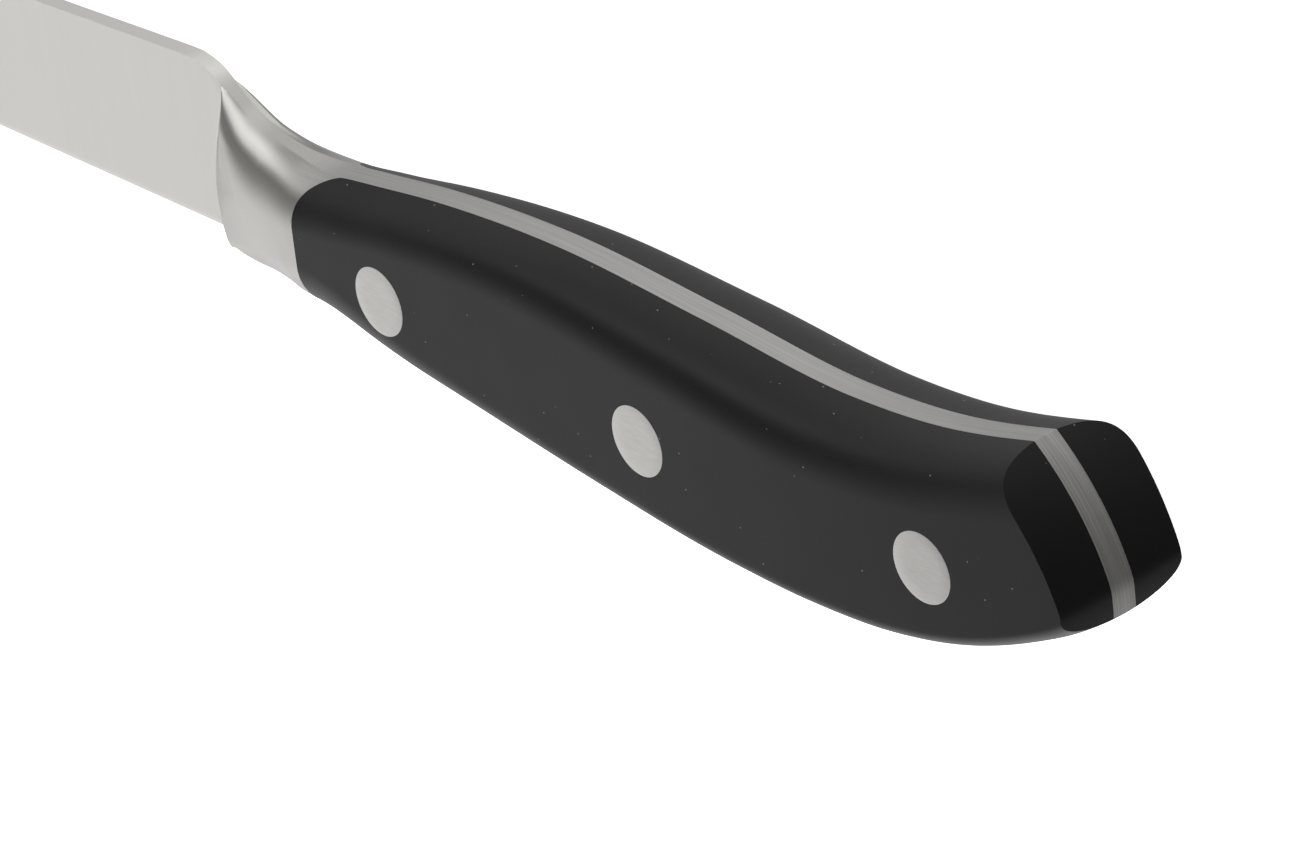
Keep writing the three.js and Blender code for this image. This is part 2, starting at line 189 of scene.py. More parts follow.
# Depth of the crown, from the back down to where the side starts
crown_line = smooth_line([
    (bolster(0), 0.6 * CROWN_DEPTH),
    (bolster(0.2), 0.81 * CROWN_DEPTH),
    (bolster(0.45), CROWN_DEPTH),
    (bolster(0.7), 0.98 * CROWN_DEPTH),
    (handle(0), 0.93 * CROWN_DEPTH),
    (handle(0.2), HUMP_CROWN_DEPTH),
    (handle(0.44), mix(HUMP_CROWN_DEPTH, CROWN_DEPTH, 0.5)),
    (handle(0.7), CROWN_DEPTH),
    (handle(0.9), CROWN_DEPTH),
    (handle(1.03), 0.95 * CROWN_DEPTH),
])

# Height over which the underside is rounded
under_line = smooth_line([
    (bolster(0), BEVEL_HEIGHT),
    (bolster(0.2), 0.56 * BELLY_ROUNDING),
    (bolster(0.6), 1.05 * BELLY_ROUNDING),
    (handle(0), 1.5 * BELLY_ROUNDING),
    (handle(0.16), 1.2 * BELLY_ROUNDING),
    (handle(0.36), BELLY_ROUNDING),
    (handle(0.7), 0.85 * BELLY_ROUNDING),
    (handle(1.03), 0.6 * BELLY_ROUNDING),
])

# Slope of the roof beside the level top, in degrees
roof_line = smooth_line([
    (bolster(0), 4), (bolster(0.3), 9), (bolster(0.65), 14), (handle(0), 28), (handle(0.05), 28),
    (handle(0.125), 21), (handle(0.25), 11.5), (handle(0.5), 5), (handle(0.75), 7), (handle(1.03), 4),
])

# How far that slope is carried outwards, as a share of the crown's width
curl_line = smooth_line([
    (bolster(0), 0.3), (bolster(0.25), 0.25), (bolster(0.5), 0.3), (handle(0), 0.5), (handle(0.1), 0.55),
    (handle(0.25), 0.72), (handle(0.5), 0.75), (handle(0.8), 0.75), (handle(1.03), 0.8),
])

# Half width of the bolster under its crown, then above its rounded underside, then of its level top
half_line = smooth_line([
    (bolster(0), 0.9 * SPINE_THICKNESS / 2),
    (bolster(0.2), mix(SPINE_THICKNESS, FRONT_WIDTH, 0.32) / 2),
    (bolster(0.45), mix(SPINE_THICKNESS, FRONT_WIDTH, 0.66) / 2),
    (bolster(0.7), mix(SPINE_THICKNESS, FRONT_WIDTH, 0.83) / 2),
    (bolster(0.92), mix(SPINE_THICKNESS, FRONT_WIDTH, 0.98) / 2),
    (handle(0), FRONT_WIDTH / 2),
    (handle(0.1), FRONT_WIDTH / 2 + SIDE_TAPER * handle(0.1)),
])
low_line = smooth_line([
    (bolster(0), EDGE_THICKNESS / 2),
    (bolster(0.2), mix(EDGE_THICKNESS, FRONT_WIDTH, 0.195) / 2),
    (bolster(0.45), mix(EDGE_THICKNESS, FRONT_WIDTH, 0.445) / 2),
    (bolster(0.7), mix(EDGE_THICKNESS, FRONT_WIDTH, 0.72) / 2),
    (bolster(0.92), mix(EDGE_THICKNESS, FRONT_WIDTH, 0.965) / 2),
    (handle(0), FRONT_WIDTH / 2),
    (handle(0.1), FRONT_WIDTH / 2 + SIDE_TAPER * handle(0.1)),
])
flat_line = smooth_line([
    (bolster(0), 0.36 * SPINE_THICKNESS),
    (bolster(0.25), 0.4 * SPINE_THICKNESS),
    (bolster(0.5), 0.31 * SPINE_THICKNESS),
    (bolster(0.75), 0.6 * TANG),
    (handle(0), TANG),
    (handle(0.1), TANG),
])


def flank(y):
    """Half thickness of the flat-ground blade, growing evenly from the edge bevel to the spine."""
    rise = (y - BEVEL_HEIGHT) / (BLADE_HEIGHT - SPINE_ROUNDING - BEVEL_HEIGHT)
    return mix(EDGE_THICKNESS, SPINE_THICKNESS, rise) / 2


def side(x):
    """Half width of the handle: an even taper, less a square of the distance behind the flat's end."""
    at_butt = FRONT_WIDTH / 2 + SIDE_TAPER * HANDLE_LENGTH
    relief = (at_butt - BUTT_WIDTH / 2) / (HANDLE_LENGTH - FLAT_LENGTH) ** 2
    return FRONT_WIDTH / 2 + SIDE_TAPER * x - relief * np.maximum(0, x - FLAT_LENGTH) ** 2


def section(x):
    """Values of the cross-section at x: heights of top and bottom, depths of crown and underside, half widths
    under the crown, above the underside and of the level top, and the roof's slope and curl.

    Blade: spine and edge run straight from the heel, then bend with a power of the distance to meet at the
    point. The spine meets the bolster's back in a rounded corner: (a + b - sqrt((a - b)^2 + r^2)) / 2 of
    their heights. Bolster: the half widths follow their own lines from the heel's to the handle's.
    """
    ahead = HEEL - x
    blade = x < HEEL
    spine_bend = np.clip((ahead - STRAIGHT_SPINE) / (BLADE_LENGTH - STRAIGHT_SPINE), 0, 1)
    edge_bend = np.clip((ahead - STRAIGHT_EDGE) / (BLADE_LENGTH - STRAIGHT_EDGE), 0, 1)
    spine_fall = BLADE_HEIGHT - SPINE_SLOPE * BLADE_LENGTH - POINT_RISE
    spine = BLADE_HEIGHT - SPINE_SLOPE * ahead - spine_fall * spine_bend ** SPINE_POWER
    back = back_line(x)
    edge = POINT_RISE * edge_bend ** EDGE_POWER
    bevel = np.minimum(BEVEL_HEIGHT, BEVEL_SHARE * (spine - edge))
    crown = np.minimum(crown_line(HEEL), CROWN_SHARE * (spine - edge))
    spine_half = flank(spine - SPINE_ROUNDING) / flank(BLADE_HEIGHT - SPINE_ROUNDING)
    grip = x > 0
    return {
        "top": (spine + back - np.hypot(spine - back, SPINE_CORNER)) / 2,
        "bottom": np.where(blade, edge, belly_line(x)),
        "crown": np.where(blade, crown, crown_line(x)),
        "under": np.where(blade, bevel, under_line(x)),
        "half": np.where(blade, spine_half * half_line(HEEL), np.where(grip, side(x), half_line(x))),
        "low": np.where(blade, flank(edge + bevel), np.where(grip, side(x), low_line(x))),
        "flat": np.where(blade, spine_half * flat_line(HEEL), flat_line(x)),
        "roof": np.radians(roof_line(np.maximum(x, HEEL))),
        "curl": curl_line(np.maximum(x, HEEL)),
    }


def top_height(x, z):
    """Height of the top at x and half width z: level to the flat's edge, then a cubic curve down to the side.

    The curve's share at z is found by halving, because z only grows along it.
    """
    s, z = section(x), np.abs(z)
    curl = s["curl"] * (s["half"] - s["flat"])
    z1 = s["flat"] + curl * np.cos(s["roof"])
    y1 = s["top"] - curl * np.sin(s["roof"])
    low, high = np.zeros_like(z), np.ones_like(z)
    for _ in range(HALVINGS):
        t = (low + high) / 2
        short = cubic(t, s["flat"], z1, s["half"], s["half"]) < z
        low, high = np.where(short, t, low), np.where(short, high, t)
    t = np.where(z <= s["flat"], 0, (low + high) / 2)
    return cubic(t, s["top"], y1, s["top"] - CROWN_PULL * s["crown"], s["top"] - s["crown"])


def bottom_height(x, z):
    """Height of the underside at x and half width z: an ellipse that starts in line with the leaning side."""
    s = section(x)
    inward = SIDE_BEND * (s["half"] - s["low"]) / (s["top"] - s["crown"] - s["bottom"] - s["under"])
    turn = np.clip(inward * s["under"] / s["low"], 0, MOST_TURN)
    start = turn / (1 - turn)
    wide, deep = s["low"] / np.sqrt(1 - start ** 2), s["under"] / (1 - start)
    return s["bottom"] + deep * (1 - np.sqrt(np.maximum(0, 1 - (z / wide) ** 2)))


def past_grind(x, y):
    """Distance behind the line where the blade's flat grind ends; the line leans back with the height."""
    return x - HEEL - GRIND_LEAN * ease(y / BLADE_HEIGHT, 0.15, 1)


def ground(points):
    """Blade's flat grind run back into the bolster.

    Ahead of the grind's end a point keeps its height and takes the width of the blade's flank, or its share
    of that on the level top and the underside. Behind it the flank flares out, less steeply near the edge,
    until it meets the section's own width: the smaller of the two steps p and q, rounded, is
    p q / (p^n + q^n)^(1/n), with n growing near the spine, where the line between blade and bolster is crisp.
    """
    x, y, z = np.moveaxis(points, -1, 0)
    s, wide, height = section(x), np.abs(z), y / BLADE_HEIGHT
    on_top, under = y > s["top"] - TOP_TOLERANCE, y < s["bottom"] + s["under"]
    share = np.where(on_top, wide / s["flat"], np.where(under, wide / s["low"], 1))
    blade = flank(np.maximum(y, BEVEL_HEIGHT)) * np.minimum(1, share)
    past = np.maximum(0, past_grind(x, y))
    flare = mix(GRIND_LOW_FLARE, GRIND_FLARE, ease(height, 0.3, 0.6))
    crisp = mix(ROUND_CORNER, CRISP_CORNER, ease(height, 0.62, 0.76))
    step, reach = np.maximum(wide - blade, 0), past * (flare + GRIND_CURVE * past)
    larger, smaller = np.maximum(step, reach), np.minimum(step, reach)
    out = smaller / (1 + (smaller / np.maximum(1e-9, larger)) ** crisp) ** (1 / crisp)
    back_in = np.minimum(wide - blade, 0) * ease(past, 0, 2)
    return np.stack([x, y, np.sign(z) * (blade + out + back_in)], -1)


def butt_x(y, z):
    """Place of the butt's end face at height y: a circle seen from the side, set back by z^2 / 2R.

    Its low end tucks under: below the tuck's start it bends by the square of the depth over twice a radius,
    then runs on straight, and no further than the tuck's own depth.
    """
    circle = np.sqrt(BUTT_RADIUS ** 2 - (y + BUTT_CENTRE_DEPTH) ** 2)
    depth = np.clip(TUCK_HEIGHT - y, 0, TUCK_DEPTH)
    bend = np.minimum(depth, TUCK_BEND)
    tuck = bend * (depth - bend / 2) / TUCK_RADIUS
    return HANDLE_LENGTH - BUTT_RADIUS + circle - z * z / (2 * BUTT_CROWN_RADIUS) - tuck


# Where the knife's own origin lies in the shared frame, from the solids' corners
low_corner, high_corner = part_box("forged_blade")
ORIGIN = np.array([
    low_corner.x * METRE - (POINT + POINT_BLUNTING) * math.cos(TILT),
    high_corner.y * METRE - BLADE_HEIGHT,
    FRONT_WIDTH / 2 * math.cos(TILT),
])
TURN = np.array([
    [math.cos(TILT), 0, -math.sin(TILT)],
    [0, 1, 0],
    [math.sin(TILT), 0, math.cos(TILT)],
])


def placed(points):
    """Points in the knife's own frame, turned and moved into the shared frame, in metres."""
    return (points @ TURN.T + ORIGIN) / METRE


def strip(plane, share, z, height, lag):
    """Points of a top or bottom strip: x lies a share of the way from a plane to the butt's face.

    y comes from height at x and z, and the butt's place from y, so x is found by repetition. The middle of a
    ring can lie ahead of its ends, by its lag.
    """
    plane = plane - lag * (1 - np.abs(z) / np.abs(z[:, -1:]))
    x = plane
    for _ in range(REPEATS):
        x = plane + (butt_x(height(x, z), z) - plane) * share
    return np.stack([x, height(x, z), z], -1)


def between(top, low, plane, share):
    """Rows of points from a top strip down to a bottom strip, on the same planes or leaning surfaces.

    The height changes evenly. So does the width, but on the bolster it goes with a power of the depth, so
    that the side starts upright.
    """
    down = np.linspace(0, 1, ROWS)[:, None, None]
    bend = np.where(plane < 0, SIDE_BEND, 1.0)[:, None]
    rows = mix(top, low, down)
    rows[..., 2:] = mix(top[..., 2:], low[..., 2:], down ** bend)
    rows[..., 0] = plane + (butt_x(rows[..., 1], rows[..., 2]) - plane) * share
    return rows


def ring_faces(count, points):
    """Quads between neighbouring rings of points, each ring closed on itself."""
    i, j = np.meshgrid(np.arange(count - 1), np.arange(points), indexing="ij")
    k = (j + 1) % points
    corners = [i * points + j, i * points + k, (i + 1) * points + k, (i + 1) * points + j]
    return np.stack(corners, -1).reshape(-1, 4)


def skin(plane, share, z_top, z_low, lag=0.0):
    """Closed skin over rings along the knife, with both ends filled.

    A ring goes over the top strip, down one side, back under the bottom strip and up the other side. The side
    rows and the rows of the end faces are mixes between the strips.
    """
    plane, share = plane[:, None], share[:, None]
    top = strip(plane, share, z_top, top_height, lag)
    low = strip(plane, share, z_low, bottom_height, lag)
    near = between(top[:, -1], low[:, -1], plane[:, 0], share[:, 0])[1:-1].swapaxes(0, 1)
    far = between(top[:, 0], low[:, 0], plane[:, 0], share[:, 0])[1:-1].swapaxes(0, 1)
    rings = ground(np.concatenate([top, near, low[:, ::-1], far[:, ::-1]], 1))
    count, points, wide = rings.shape[0], rings.shape[1], top.shape[1]
    vertices, faces = [rings.reshape(-1, 3)], [ring_faces(count, points)]
    total = count * points
    for ring, turn in ((0, -1), (count - 1, 1)):
        first = ring * points
        inside = between(top[ring], low[ring], plane[ring], share[ring])[1:-1, 1:-1]
        grid = np.zeros((ROWS, wide), int)
        grid[0] = first + np.arange(wide)
        grid[:, -1] = first + wide - 1 + np.arange(ROWS)
        grid[-1] = first + 2 * wide + ROWS - 3 - np.arange(wide)
        grid[1:-1, 0] = first + points - 1 - np.arange(ROWS - 2)
        grid[1:-1, 1:-1] = total + np.arange(inside[..., 0].size).reshape(inside.shape[:2])
        cap = np.stack([grid[:-1, :-1], grid[:-1, 1:], grid[1:, 1:], grid[1:, :-1]], -1)
        faces.append(cap.reshape(-1, 4)[:, ::turn])
        vertices.append(inside.reshape(-1, 3))
        total += inside[..., 0].size
    return np.concatenate(vertices), np.concatenate(faces)


def add_piece(name, points, faces, material, slot, replaced, **finish):
    """Smooth mesh in place of its CAD node; each finish is a share at every point that its material reads."""
    mesh = bpy.data.meshes.new(name)
    mesh.from_pydata(placed(points).tolist(), [], faces)
    mesh.polygons.foreach_set("use_smooth", np.ones(len(mesh.polygons), bool))
    mesh.set_sharp_from_angle(angle=SHARP_EDGE)
    mesh.materials.append(material)
    for kind, share in finish.items():
        mesh.attributes.new(kind, "FLOAT", "POINT").data.foreach_set("value", share.astype(np.float32))
    piece = bpy.data.objects.new(name, mesh)
    scene.collection.objects.link(piece)
    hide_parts(replaced)
    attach(piece, "root")


def colour(code):
    """sRGB hex code as linear red, green, blue and alpha."""
    value = np.array([int(code[i:i + 2], 16) for i in (1, 3, 5)]) / 255
    linear = np.where(value <= 0.04045, value / 12.92, ((value + 0.055) / 1.055) ** 2.4)
    return (*linear.tolist(), 1.0)


def node(tree, kind, inputs=None, **settings):
    """One node of a kind, with its settings, and each named input set to a value or linked to a socket."""
    made = tree.nodes.new(kind)
    for name, value in settings.items():
        setattr(made, name, value)
    for name, value in (inputs or {}).items():
        if isinstance(value, bpy.types.NodeSocket):
            tree.links.new(value, made.inputs[name])
        else:
            made.inputs[name].default_value = value
    return made


def new_material(name):
    """Empty node material and its tree."""
    material = bpy.data.materials.new(name)
    material.use_nodes = True
    material.node_tree.nodes.clear()
    return material, material.node_tree


def grain(tree, place, size):
    """Noise drawn out into lines: its grains have the given millimetres along the knife's own axes."""
    lines = node(tree, "ShaderNodeMapping", {
        "Vector": place, "Rotation": (0.0, -TILT, 0.0), "Scale": [length / METRE for length in size],
    }, vector_type="TEXTURE").outputs["Vector"]
    return node(tree, "ShaderNodeTexNoise", {"Vector": lines, "Scale": 1.0, "Detail": 3.0}).outputs["Fac"]


BUMP_HEIGHT = 0.1 / METRE  # full height of every bump, in metres


def forged_steel():
    """Forged stainless steel in three finishes.

    The flanks are ground satin across the blade, which blurs the studio into an even pale grey. The bolster
    is polished, so bands of light and dark run over its curves. Tang and butt are belt-ground flush with the
    scales: a darker grey with fine lines along them, which a coarser belt left clearer and duller on the
    butt's end. The butt's end also has painted light: its base is made lighter, so that face shows brighter
    than its lighting gives.
    """
    material, tree = new_material("stainless_steel_satin_blade_polished_bolster_brushed_tang")
    place = node(tree, "ShaderNodeTexCoord").outputs["Object"]
    polish = node(tree, "ShaderNodeAttribute", attribute_name="polish").outputs["Fac"]
    belt = node(tree, "ShaderNodeAttribute", attribute_name="belt").outputs["Fac"]
    coarse = node(tree, "ShaderNodeAttribute", attribute_name="coarse").outputs["Fac"]
    # Grinding lines are 0.05 mm apart on the blade, drawn 0.2 mm apart so that they show, and 0.13 mm apart
    # on the tang.
    across = grain(tree, place, (0.2, 16, 16))
    lengthways = grain(tree, place, (12, 12, 0.13))
    satin = node(tree, "ShaderNodeMapRange", {
        "Value": across, "To Min": 0.3, "To Max": 0.4,
    }).outputs["Result"]
    smooth = node(tree, "ShaderNodeMix", {"Factor": polish, "A": satin, "B": 0.17}).outputs["Result"]
    belt_rough = node(tree, "ShaderNodeMix", {"Factor": coarse, "A": 0.46, "B": 0.6}).outputs["Result"]
    rough = node(tree, "ShaderNodeMix", {"Factor": belt, "A": smooth, "B": belt_rough}).outputs["Result"]
    pale = node(tree, "ShaderNodeMix", {
        "Factor": polish, "A": colour("#e9e7e3"), "B": colour("#c1bfbb"),
    }, data_type="RGBA").outputs["Result"]
    # Painted light on the butt's end: the lines' top tone is raised there, which lightens that face's base;
    # the stronger lines are the coarser belt's
    lightest_line_and_painted_end_light = node(tree, "ShaderNodeMix", {"Factor": coarse, "A": 1.1, "B": 1.35}).outputs["Result"]
    shade = node(tree, "ShaderNodeMapRange", {
        "Value": lengthways, "From Min": 0.3, "From Max": 0.7, "To Min": 0.9, "To Max": lightest_line_and_painted_end_light,
    }).outputs["Result"]
    brushed = node(tree, "ShaderNodeVectorMath", {
        0: colour("#bfbebc")[:3], "Scale": shade,
    }, operation="SCALE").outputs["Vector"]
    base = node(tree, "ShaderNodeMix", {
        "Factor": belt, "A": pale, "B": brushed,
    }, data_type="RGBA").outputs["Result"]
    relief = node(tree, "ShaderNodeMapRange", {
        "Value": polish, "To Min": 0.03, "To Max": 0.004,
    }).outputs["Result"]
    bump = node(tree, "ShaderNodeBump", {
        "Strength": relief, "Distance": BUMP_HEIGHT, "Height": across,
    }).outputs["Normal"]
    steel = node(tree, "ShaderNodeBsdfPrincipled", {
        "Base Color": base, "Metallic": 1.0, "Roughness": rough, "Normal": bump,
    })
    node(tree, "ShaderNodeOutputMaterial", {"Surface": steel.outputs["BSDF"]})
    return material


def rivet_steel():
    """Stainless steel rivet heads ground flush on a belt: pale, with faint lines along the handle."""
    material, tree = new_material("stainless_steel_ground_rivet_heads")
    place = node(tree, "ShaderNodeTexCoord").outputs["Object"]
    # Belt lines 0.14 mm apart, drawn at that size.
    lines = grain(tree, place, (1.1, 0.14, 1.1))
    tone = node(tree, "ShaderNodeMapRange", {
        "Value": lines, "From Min": 0.3, "From Max": 0.7, "To Min": 0.95, "To Max": 1.05,
    }).outputs["Result"]
    base = node(tree, "ShaderNodeVectorMath", {
        0: colour("#d6d4d1")[:3], "Scale": tone,
    }, operation="SCALE").outputs["Vector"]
    bump = node(tree, "ShaderNodeBump", {
        "Strength": 0.04, "Distance": BUMP_HEIGHT, "Height": lines,
    }).outputs["Normal"]
    steel = node(tree, "ShaderNodeBsdfPrincipled", {
        "Base Color": base, "Metallic": 1.0, "Roughness": 0.34, "Normal": bump,
    })
    node(tree, "ShaderNodeOutputMaterial", {"Surface": steel.outputs["BSDF"]})
    return material


def moulded_acetal():
    """Black moulded acetal: nearly black, with a satin skin that greys where it mirrors light, and dust."""
    material, tree = new_material("acetal_black_satin_moulded")
    place = node(tree, "ShaderNodeTexCoord").outputs["Object"]
    # Skin grain 0.25 mm across; cloudy gloss 6.25 mm across.
    skin_grain = node(tree, "ShaderNodeTexNoise", {
        "Vector": place, "Scale": METRE / 0.25, "Detail": 2.0,
    }).outputs["Fac"]
    cloud = node(tree, "ShaderNodeTexNoise", {
        "Vector": place, "Scale": METRE / 6.25, "Detail": 2.0,
    }).outputs["Fac"]
    rough = node(tree, "ShaderNodeMapRange", {
        "Value": cloud, "To Min": 0.36, "To Max": 0.44,
    }).outputs["Result"]
    # Dust: specks up to 0.15 mm across, a tenth of a cell, in some cells of a pattern of 660 to the metre.
    cells = node(tree, "ShaderNodeTexVoronoi", {"Vector": place, "Scale": 660.0})
    near = node(tree, "ShaderNodeMath", {
        0: cells.outputs["Distance"], 1: 0.05,
    }, operation="LESS_THAN").outputs[0]
    pick = node(tree, "ShaderNodeSeparateColor", {"Color": cells.outputs["Color"]}).outputs["Red"]
    some = node(tree, "ShaderNodeMath", {0: pick, 1: 0.6}, operation="LESS_THAN").outputs[0]
    dust = node(tree, "ShaderNodeMath", {0: near, 1: some}, operation="MULTIPLY").outputs[0]
    base = node(tree, "ShaderNodeMix", {
        "Factor": dust, "A": colour("#090909"), "B": colour("#6a6866"),
    }, data_type="RGBA").outputs["Result"]
    bump = node(tree, "ShaderNodeBump", {
        "Strength": 0.05, "Distance": BUMP_HEIGHT, "Height": skin_grain,
    }).outputs["Normal"]
    plastic = node(tree, "ShaderNodeBsdfPrincipled", {
        "Base Color": base, "Roughness": rough, "Normal": bump, "IOR": 1.39,
    })
    node(tree, "ShaderNodeOutputMaterial", {"Surface": plastic.outputs["BSDF"]})
    return material


# Grid lines that the forging and the scales share
reach = np.sin(np.linspace(0, math.pi / 2, STRIP))
lean = (1 - (1 - np.linspace(0, 1, BUTT_RINGS)) ** BUTT_CROWDING)[1:]
shoulder = np.linspace(0, math.pi / 2, SHOULDER_RINGS)
shoulder_x = SHOULDER_RADIUS * (1 - np.cos(shoulder))
shoulder_z = TANG + SHOULDER_RADIUS * (1 - np.sin(shoulder))
grip_x = np.linspace(SHOULDER_RADIUS, TO_BUTT, GRIP_RINGS)[1:]


def top_reach(x):
    """Shares of the half width at x for a strip's points: even on the level top, then along the crown."""
    s = {name: value[:, None] for name, value in section(x).items()}
    level = np.linspace(0, 1, TOP_STEPS + 1) * s["flat"]
    t = np.linspace(0, 1, STRIP - TOP_STEPS)[1:]
    bend = s["flat"] + s["curl"] * (s["half"] - s["flat"]) * np.cos(s["roof"])
    crown = cubic(t, s["flat"], bend, s["half"], s["half"])
    return np.concatenate([level, crown], 1) / s["half"]


def both_sides(half):
    """Strip points from the far side to the near one, out of those on the near half."""
    return np.concatenate([-half[:, :0:-1], half], 1)


def forging(material):
    """Blade, bolster and tang in one skin.

    Up to the shoulders the strips reach the full width. Behind them their half width follows the shoulder's
    quarter circle down to the tang's. There the rings slant, so that they don't run along the quarter
    circle's start. Polish starts at the grind's end, softly near the spine. The belt's finish fades in from
    the bolster to the tang's top, and the coarser belt's is on the butt's end alone, which also carries
    painted light: a lighter base that brightens the butt's end face.
    """
    front = np.concatenate([
        np.linspace(POINT + POINT_BLUNTING, HEEL - HEEL_STRETCH, BLADE_RINGS)[:-1],
        np.linspace(HEEL - HEEL_STRETCH, HEEL, HEEL_RINGS)[:-1],
        np.linspace(HEEL, bolster(0.4), FLARE_RINGS)[:-1],
        np.linspace(bolster(0.4), 0, BOLSTER_RINGS)[:-1],
    ])
    s = section(front)
    grip_count = len(grip_x) + len(lean)
    narrow = np.concatenate([shoulder_z, np.full(grip_count, TANG)])[:, None]
    plane = np.concatenate([front, shoulder_x, grip_x, np.full(len(lean), TO_BUTT)])
    share = np.concatenate([np.zeros(len(plane) - len(lean)), lean])
    wide_top, narrow_top = s["half"][:, None] * top_reach(front), narrow * top_reach(np.zeros(1))
    z_top = both_sides(np.concatenate([wide_top, narrow_top]))
    z_low = both_sides(np.concatenate([s["low"][:, None], narrow]) * reach)
    slant, slant_run = 3.0, 11.0
    middle = mix(-slant, SHOULDER_RADIUS, shoulder / shoulder[-1])
    lag = np.concatenate([slant * ease(front, -slant_run, 0), shoulder_x - middle, np.zeros(grip_count)])
    points, faces = skin(plane, share, z_top, z_low, lag[:, None])
    x, y, z = points.T
    polish_fade = mix(0.25, 3, ease(y / BLADE_HEIGHT, 0.8, 0.95))
    add_piece(
        "forged_blade_and_tang", points, faces.tolist(), material, "blade_steel", "forged_blade",
        polish=ease(past_grind(x, y), -polish_fade, polish_fade),
        belt=ease(x, -4, 4) * (1 - ease(np.abs(z), 1.5 * TANG, 3 * TANG)),
        # Butt's end: a coarser, rougher belt finish, and painted light that lightens its base
        coarse=ease(x - butt_x(y, z), -0.1, 0),
    )


def outer(plane, share, height):
    """Half width of the handle where a strip meets the side, found by repetition on the leaning rings."""
    x = plane
    for _ in range(REPEATS):
        x = plane + (butt_x(height(x, side(x)), side(x)) - plane) * share
    return side(x)


def scale(name, turn, material):
    """Grip scale: from the tang, or the shoulder's quarter circle at its nose, out to the handle's side."""
    first = 4  # rings left off at the quarter circle's start, so that the nose isn't drawn out to a thin lip
    plane = np.concatenate([shoulder_x[first:], grip_x, np.full(len(lean), TO_BUTT)])
    share = np.concatenate([np.zeros(len(plane) - len(lean)), lean])
    inner = np.concatenate([shoulder_z[first:], np.full(len(grip_x) + len(lean), TANG)]) + SEAM
    z_top = inner[:, None] + (outer(plane, share, top_height) - inner)[:, None] * reach
    z_low = inner[:, None] + (outer(plane, share, bottom_height) - inner)[:, None] * reach
    points, faces = skin(plane, share, z_top, z_low)
    points[:, 2] = np.minimum(points[:, 2], side(points[:, 0]))
    points = points * np.array([1, 1, turn])
    add_piece(name, points, faces[:, ::turn].tolist(), material, "scale_plastic", name)


def rivet_half(name, x, y, turn, shank, material):
    """Rivet half turned about its axis: a flush head with a rounded rim, and a shank below it."""
    around = np.linspace(0, 2 * math.pi, RIVET_STEPS + 1)[:-1]
    head = RIVET_HEAD_DIAMETER / 2
    rim = np.linspace(0, math.pi / 2, 6)
    radius = np.concatenate([
        [0.4, 0.6 * head], head - RIM_ROUNDING + RIM_ROUNDING * np.sin(rim), [head, shank, shank],
    ])
    height = np.concatenate([
        [HEAD_PROUD, HEAD_PROUD], HEAD_PROUD - RIM_ROUNDING + RIM_ROUNDING * np.cos(rim),
        [-HEAD_DEPTH, -HEAD_DEPTH, -RIVET_DEPTH],
    ])
    px = x + radius[:, None] * np.cos(around)
    py = y + radius[:, None] * np.sin(around)
    pz = (side(px) + height[:, None]) * turn
    points = np.stack([px, py, pz], -1).reshape(-1, 3)
    wall = ring_faces(len(radius), RIVET_STEPS)[:, [0, 3, 2, 1]]
    ends = [np.arange(RIVET_STEPS), np.arange(len(points) - 1, len(points) - RIVET_STEPS - 1, -1)]
    faces = wall[:, ::turn].tolist() + [end[::turn].tolist() for end in ends]
    add_piece(name + "_head", points, faces, material, "rivet_steel", name)


forging(forged_steel())
plastic = moulded_acetal()
scale("left_scale", 1, plastic)
scale("right_scale", -1, plastic)
head_steel = rivet_steel()
rear_rivet = HANDLE_LENGTH - REAR_RIVET_INSET
rivet_x = {
    "front": FRONT_RIVET_INSET, "middle": (FRONT_RIVET_INSET + rear_rivet) / 2, "rear": rear_rivet,
}
for place, x in rivet_x.items():
    rivet_half(f"{place}_rivet_socket", x, RIVET_HEIGHTS[place], 1, TUBE_RADIUS, head_steel)
    rivet_half(f"{place}_rivet_pin", x, RIVET_HEIGHTS[place], -1, PIN_RADIUS, head_steel)

# Floor: an opal light table, lit from below so that shadows stay faint, and left out of mirror-like
# reflections so that the steel shows the studio around it
FLOOR_REACH = 3.0  # in metres
floor_material, tree = new_material("white_studio_floor")
floor_paint = node(tree, "ShaderNodeBsdfPrincipled", {
    "Base Color": colour("#f4f4f4"), "Roughness": 0.9, "Specular IOR Level": 0.0,
    "Emission Color": (1.0, 1.0, 1.0, 1.0), "Emission Strength": 1.0,
})
node(tree, "ShaderNodeOutputMaterial", {"Surface": floor_paint.outputs["BSDF"]})
floor_mesh = bpy.data.meshes.new("floor")
corners = [(FLOOR_REACH * i, FLOOR_REACH * j, 0) for i, j in ((-1, -1), (1, -1), (1, 1), (-1, 1))]
floor_mesh.from_pydata(corners, [], [(0, 1, 2, 3)])
floor_mesh.materials.append(floor_material)
floor = bpy.data.objects.new("floor", floor_mesh)
floor.visible_glossy = False
scene.collection.objects.link(floor)

# Studio, by the direction that light comes from. A dome is white in front of the edge, dark level with the
# knife and brightest over the spine. Below the horizon a grey sweep stands behind the spine. White cards lie
# in front of the edge, past the point, low behind the spine and under the far side. The butt's side is dark.
world = bpy.data.worlds.new("studio")
world.use_nodes = True
scene.world = world
tree = world.node_tree
tree.nodes.clear()
way = node(tree, "ShaderNodeSeparateXYZ", {"Vector": node(tree, "ShaderNodeTexCoord").outputs["Generated"]})
along, aside, up = way.outputs

